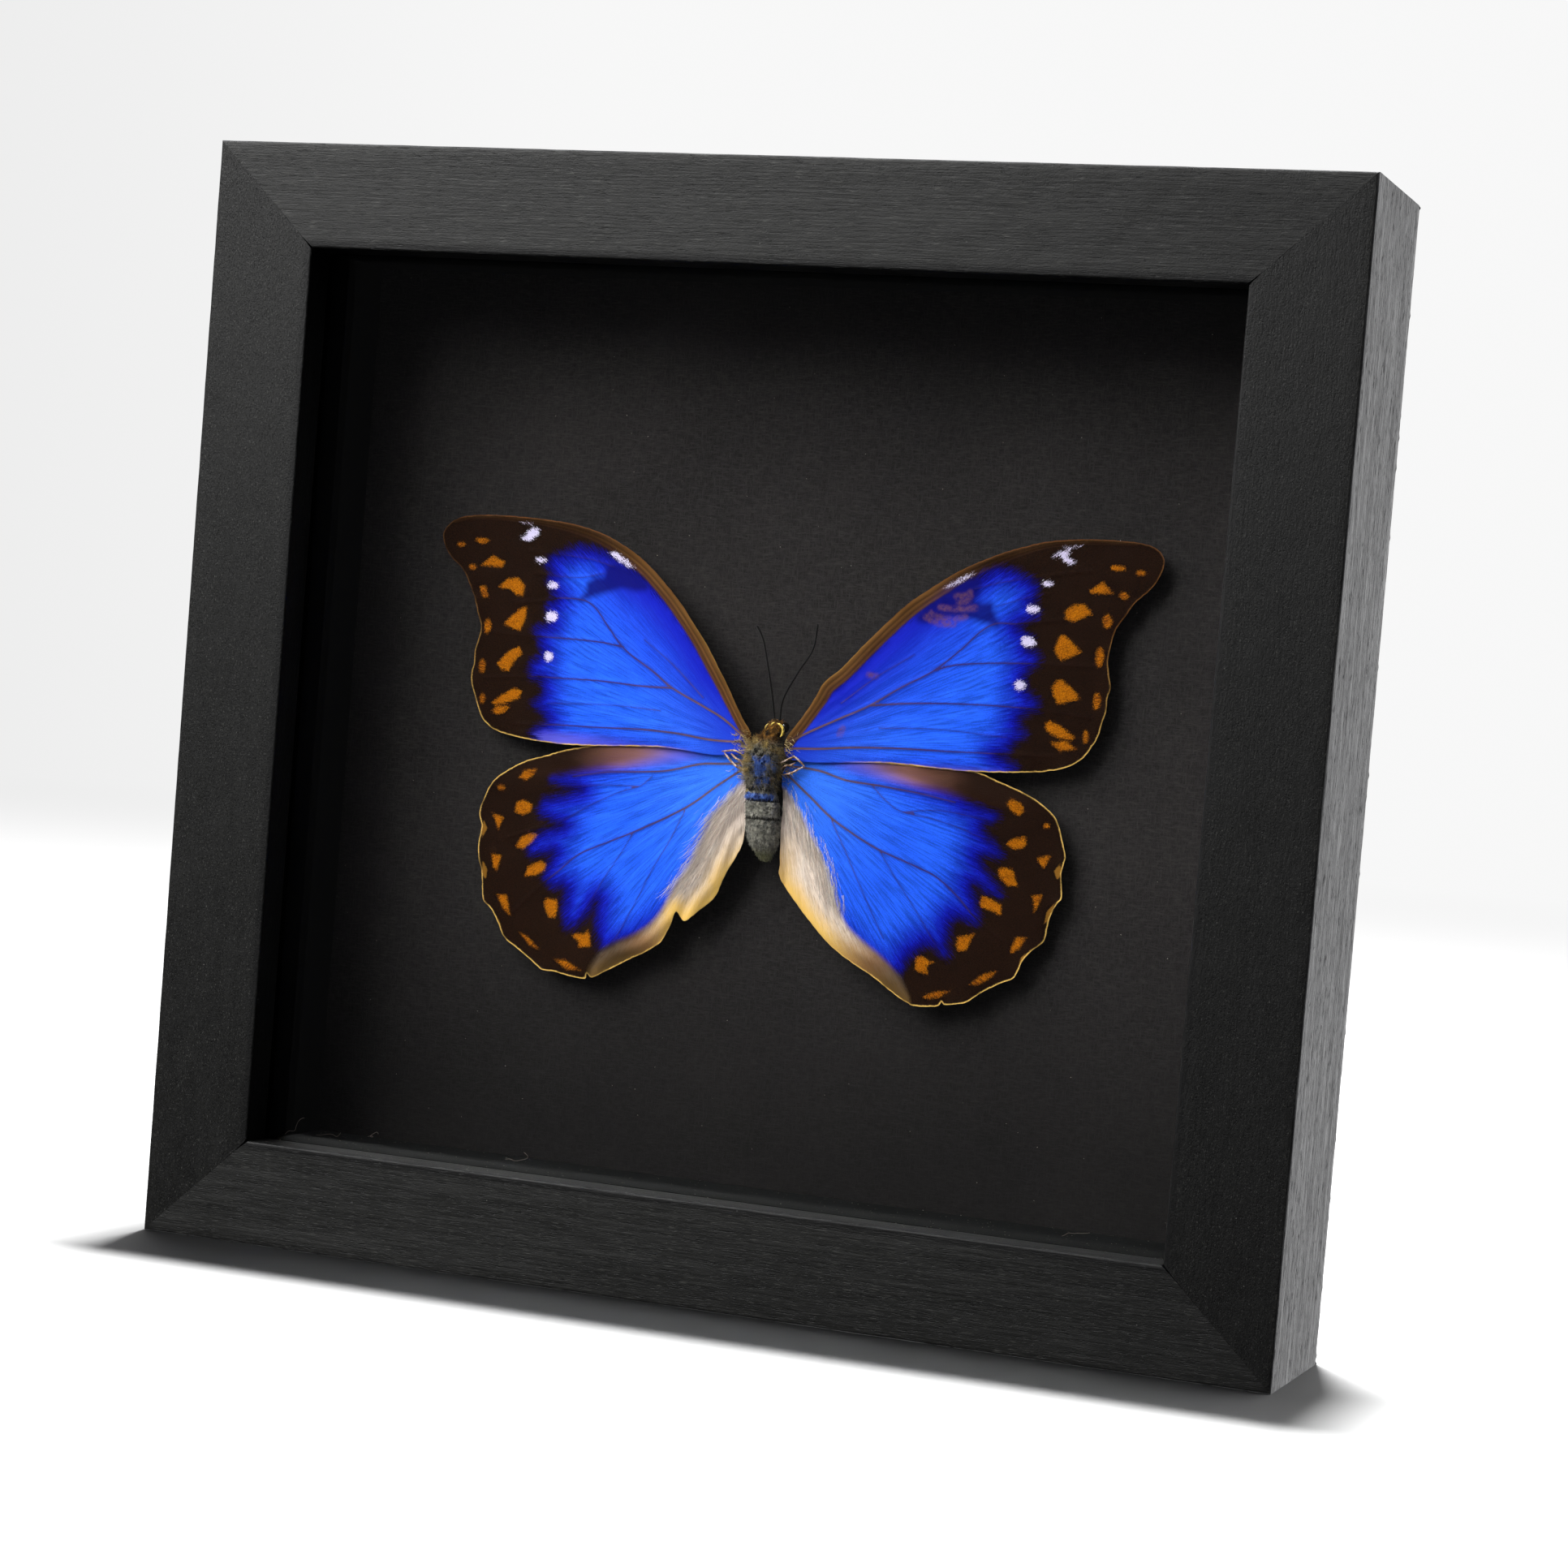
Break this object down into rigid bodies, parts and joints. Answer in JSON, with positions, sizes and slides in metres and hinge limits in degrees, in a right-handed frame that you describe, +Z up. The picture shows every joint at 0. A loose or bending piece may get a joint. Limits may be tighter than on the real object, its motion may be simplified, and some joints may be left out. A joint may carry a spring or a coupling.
{
  "type": "framed butterfly specimen",
  "caption": "Blue butterfly with orange spots, spread and pinned in a deep black box frame with mitred wooden rails, a glass front, a charcoal backing card and a closed back.",
  "frame": {"origin": "middle of the bottom edge of the frame, halfway between its front and back, on the surface it stands on", "axes": "+X to the right as seen from the front, +Y from the front to the back of the frame, +Z up; the glass faces -Y"},
  "size_m": [0.202, 0.0322, 0.1886],
  "materials": {
    "black_wood": "satin black stain over fine straight grain",
    "clear_glass": "clear float glass, polished",
    "black_card": "matt black",
    "charcoal_card": "matt charcoal with a fine linen texture",
    "fibreboard": "plain brown hardboard, smooth side out",
    "zinc_steel": "zinc-plated, dull",
    "brass_plate": "brass-plated, slightly dull",
    "pin_steel": "black-enamelled insect pin",
    "blue_forewing": "iridescent blue wing scales with a dark border, orange spots and white flecks",
    "blue_hindwing": "iridescent blue wing scales with a dark border, orange spots and a pale hairy inner fold",
    "grey_body": "short grey and tan hair",
    "dark_antenna": "dark brown, fine and dull"
  },
  "bodies": {
    "root": {"rail_top": "black_wood", "rail_bottom": "black_wood", "rail_left": "black_wood", "rail_right": "black_wood", "glass_pane": "clear_glass", "spacer_top": "black_card", "spacer_bottom": "black_card", "spacer_left": "black_card", "spacer_right": "black_card", "backing_card": "charcoal_card", "back_board": "fibreboard", "point_lower_left": "zinc_steel", "point_lower_right": "zinc_steel", "point_upper_left": "zinc_steel", "point_upper_right": "zinc_steel", "hanger": "brass_plate", "insect_pin": "pin_steel", "body": "grey_body", "antenna_left": "dark_antenna", "antenna_right": "dark_antenna", "forewing_left": "blue_forewing", "forewing_right": "blue_forewing", "hindwing_left": "blue_hindwing", "hindwing_right": "blue_hindwing"}
  },
  "joints": []
}
